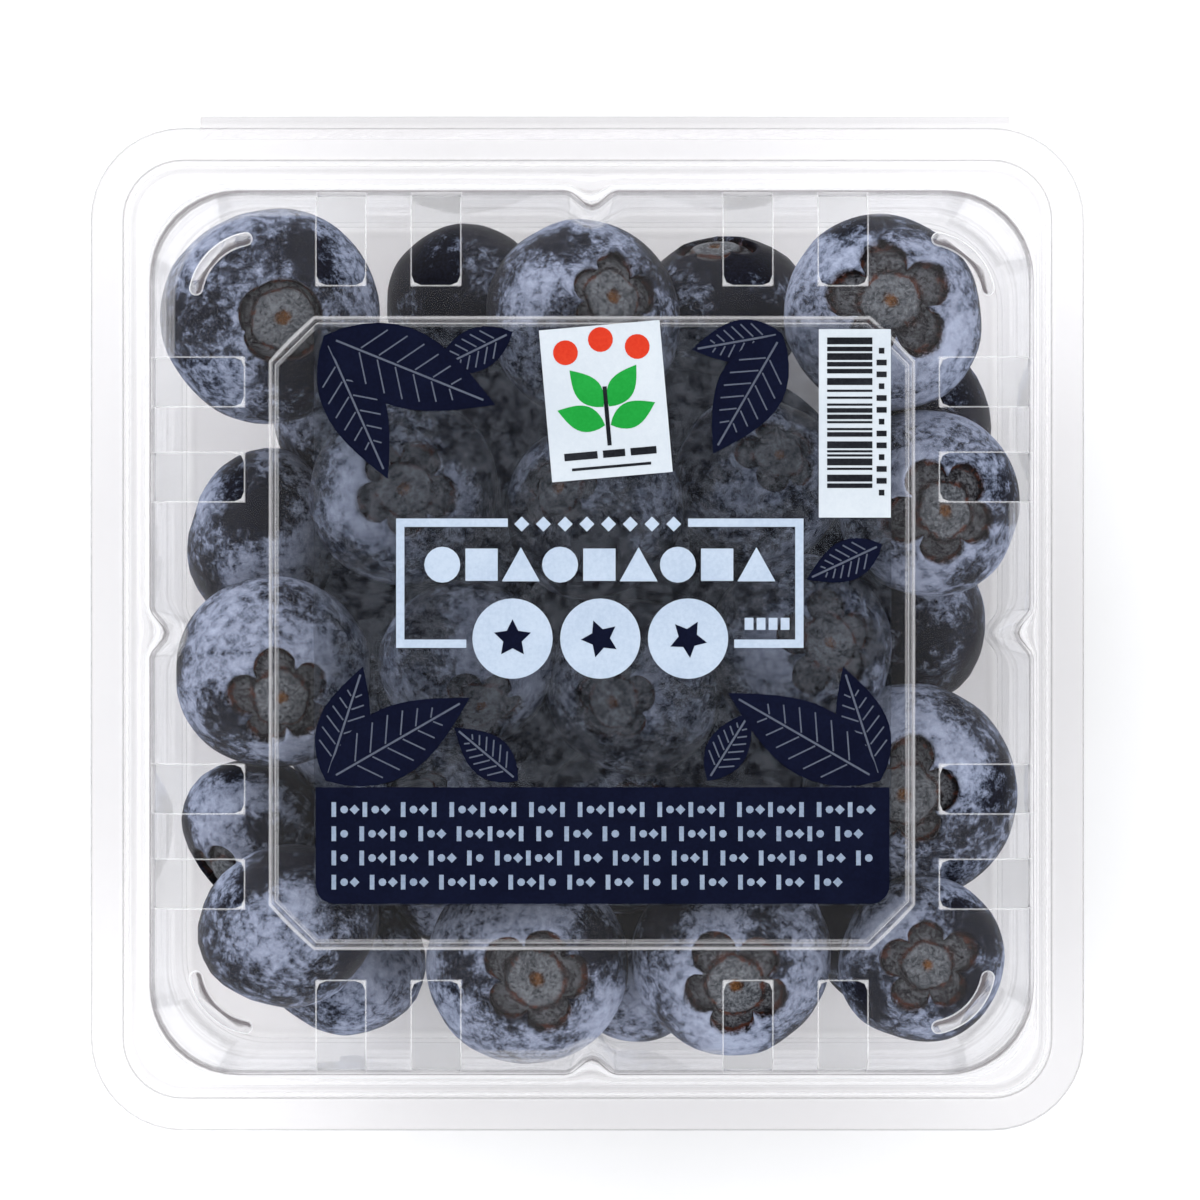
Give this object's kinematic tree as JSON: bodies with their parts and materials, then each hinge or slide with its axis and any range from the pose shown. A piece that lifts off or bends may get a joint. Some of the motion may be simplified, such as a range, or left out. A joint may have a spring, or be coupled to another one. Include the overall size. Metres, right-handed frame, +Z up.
{
  "type": "punnet of blueberries",
  "caption": "Clear hinged plastic punnet, shut, with slotted vents in its domed lid, a label film and two stickers on top, filled with large blueberries.",
  "frame": {"origin": "on the plane that the pack stands on, under the middle of the shut pack, its hinge strip included", "axes": "+Z up, +Y towards the hinge at the back, +X to the right seen from above with the hinge at the top"},
  "size_m": [0.108, 0.1102, 0.0381],
  "materials": {
    "clear_tub": "clear, glossy",
    "clear_lid": "clear, glossy",
    "berry_skin": "satin skin with a pale bloom",
    "label_film": "clear film with dark print",
    "sticker_paper": "coated paper"
  },
  "bodies": {
    "tub": {"tub": "clear_tub", "berries": "berry_skin"},
    "lid": {"lid": "clear_lid", "label_film": "label_film", "square_sticker": "sticker_paper", "bar_sticker": "sticker_paper"}
  },
  "joints": [
    {"name": "lid_hinge", "type": "hinge", "parent": "tub", "child": "lid", "pos_m": [0, 0.05515, 0.026], "axis": [-1, 0, 0], "range_deg": [0, 180]}
  ]
}
